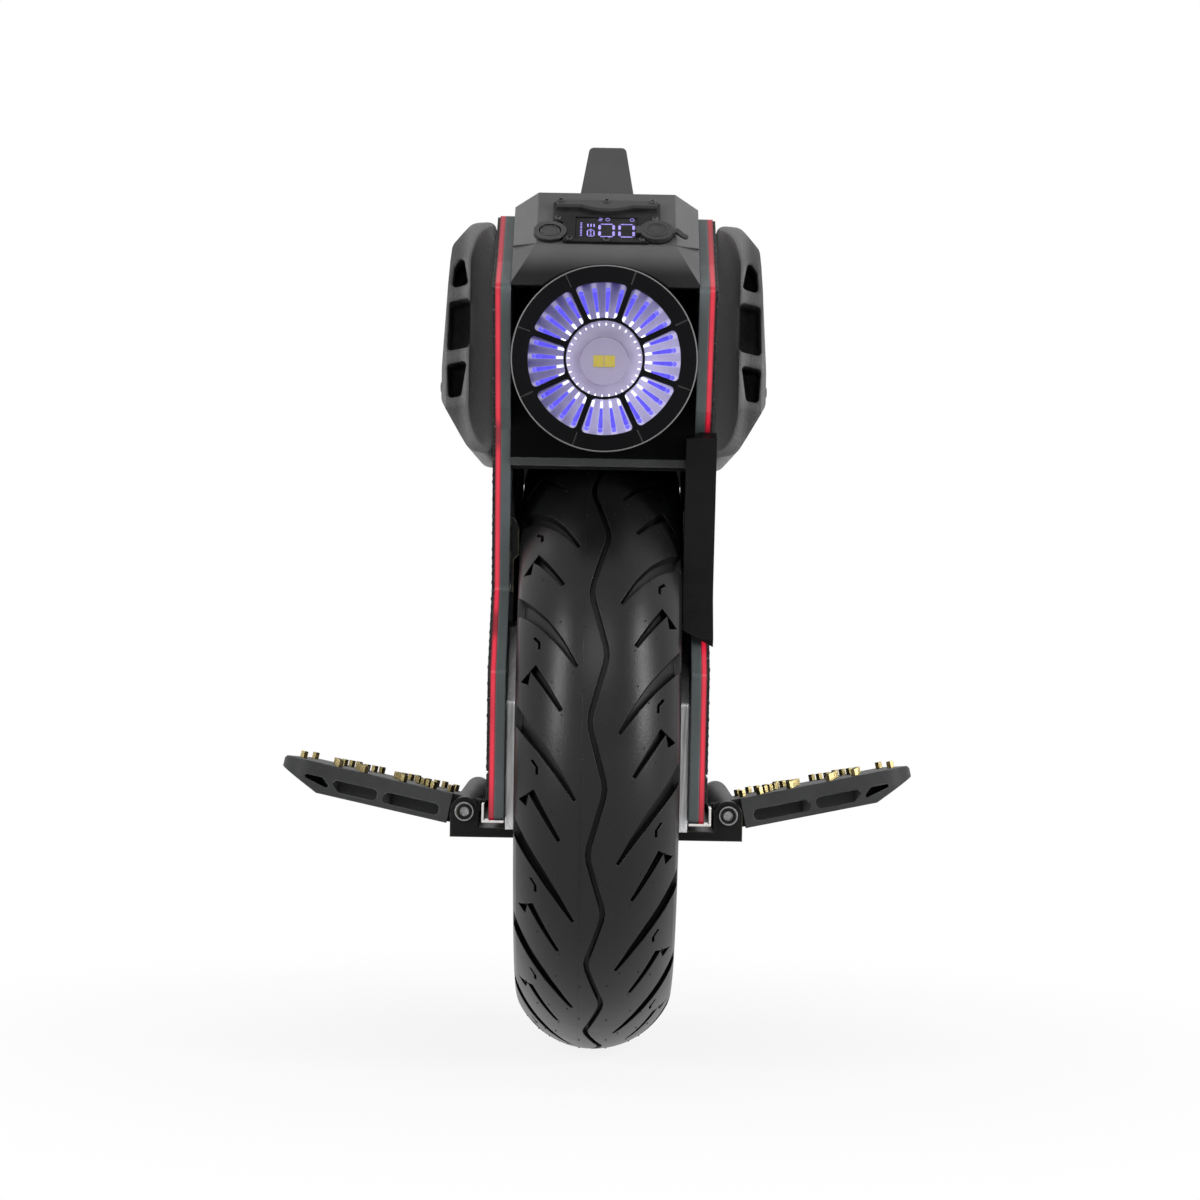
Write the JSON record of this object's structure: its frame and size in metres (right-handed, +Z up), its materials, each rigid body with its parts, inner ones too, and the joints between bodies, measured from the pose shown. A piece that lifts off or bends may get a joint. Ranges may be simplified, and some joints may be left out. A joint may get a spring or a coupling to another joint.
{
  "type": "electric unicycle",
  "caption": "Self-balancing electric unicycle with a hub-motor tyre between side plates, folding stud pedals, round headlight, side bumpers and a carry handle.",
  "frame": {"origin": "ground point under the wheel, at the middle of the tyre's contact", "axes": "+Z up, -Y to the front with the headlight, +X across to the side that carries the cable cover"},
  "size_m": [0.4048, 0.414, 0.588],
  "materials": {
    "tyre_rubber": "moulded rubber, satin",
    "rim_paint": "black cast aluminium, painted",
    "steel": "machined",
    "stator_steel": "laminated core",
    "copper": "enamelled winding",
    "hanger_aluminium": "brushed",
    "bracket_black": "black anodised",
    "plate_slate": "slate satin paint",
    "black_plastic": "fine moulded grain",
    "light_red": "lit diffuser",
    "clip_metal": "bright",
    "hook_fabric": "hook-and-loop",
    "bumper_grey": "speckled matte",
    "cap_plastic": "satin moulded",
    "lamp_black": "satin",
    "clear_glass": "clear polycarbonate",
    "led_board": "lit circuit board",
    "emitter_yellow": "phosphor",
    "screen_glass": "dark pane",
    "button_plastic": "satin",
    "cap_rubber": "matte",
    "pedal_black": "black anodised",
    "stud_brass": "machined",
    "cell_wrap": "shrink wrap",
    "cable_rubber": "matte",
    "tail_red": "red lens"
  },
  "bodies": {
    "chassis": {"stator_core": "stator_steel", "stator_windings": "copper", "axle_shaft": "steel", "axle_nuts": "steel", "hanger_plate_left": "hanger_aluminium", "hanger_plate_right": "hanger_aluminium", "pedal_bracket_left": "bracket_black", "pedal_bracket_right": "bracket_black", "hinge_pins": "steel", "side_plate_left": "plate_slate", "side_plate_right": "plate_slate", "side_cover_left": "black_plastic", "side_cover_right": "black_plastic", "light_strip_front_left": "light_red", "light_strip_front_right": "light_red", "light_strip_rear_left": "light_red", "light_strip_rear_right": "light_red", "side_pad_left": "hook_fabric", "side_pad_right": "hook_fabric", "strip_end_clips": "clip_metal", "bumper_left": "bumper_grey", "bumper_right": "bumper_grey", "top_cap": "cap_plastic", "front_brow": "cap_plastic", "display_bezel": "black_plastic", "display_screen": "screen_glass", "power_button_ring": "button_plastic", "charge_port": "black_plastic", "headlight_bezel": "lamp_black", "headlight_housing": "black_plastic", "headlight_window": "clear_glass", "headlight_lens": "clear_glass", "headlight_led_board": "led_board", "headlight_emitter": "emitter_yellow", "lamp_bulkhead": "black_plastic", "crossbars": "bracket_black", "fender": "black_plastic", "rear_cover": "cap_plastic", "tail_light_lens": "tail_red", "battery_packs": "cell_wrap", "controller": "hanger_aluminium", "carry_handle": "cap_plastic", "motor_cable": "cable_rubber", "cable_cover": "black_plastic", "cable_clip": "black_plastic"},
    "wheel": {"tyre": "tyre_rubber", "rim": "rim_paint", "valve_stem": "steel", "motor_cover_left": "rim_paint", "motor_cover_right": "rim_paint", "motor_cover_screws": "steel", "wheel_bearings": "steel", "magnet_ring": "stator_steel"},
    "pedal_left": {"pedal_left": "pedal_black", "pedal_studs_left": "stud_brass"},
    "pedal_right": {"pedal_right": "pedal_black", "pedal_studs_right": "stud_brass"},
    "power_button": {"power_button": "button_plastic"},
    "charge_cap": {"charge_port_cap": "cap_rubber"}
  },
  "joints": [
    {"name": "wheel_spin", "type": "hinge", "parent": "chassis", "child": "wheel", "pos_m": [0, 0, 0.207], "axis": [1, 0, 0], "continuous": true},
    {"name": "pedal_left_fold", "type": "hinge", "parent": "chassis", "child": "pedal_left", "pos_m": [-0.0833, 0, 0.1623], "axis": [0, 1, 0], "range_deg": [0, 78]},
    {"name": "pedal_right_fold", "type": "hinge", "parent": "chassis", "child": "pedal_right", "pos_m": [0.0833, 0, 0.1623], "axis": [0, -1, 0], "range_deg": [0, 78]},
    {"name": "power_button_press", "type": "slide", "parent": "chassis", "child": "power_button", "axis": [0, 0.6613, -0.7501], "range_m": [0, 0.0015], "stiffness_N_per_m": 500, "springref_m": -0.001},
    {"name": "charge_cap_open", "type": "hinge", "parent": "chassis", "child": "charge_cap", "pos_m": [0.0487, -0.16501, 0.5217], "axis": [0, 0.7501, 0.6613], "range_deg": [0, 110]}
  ]
}
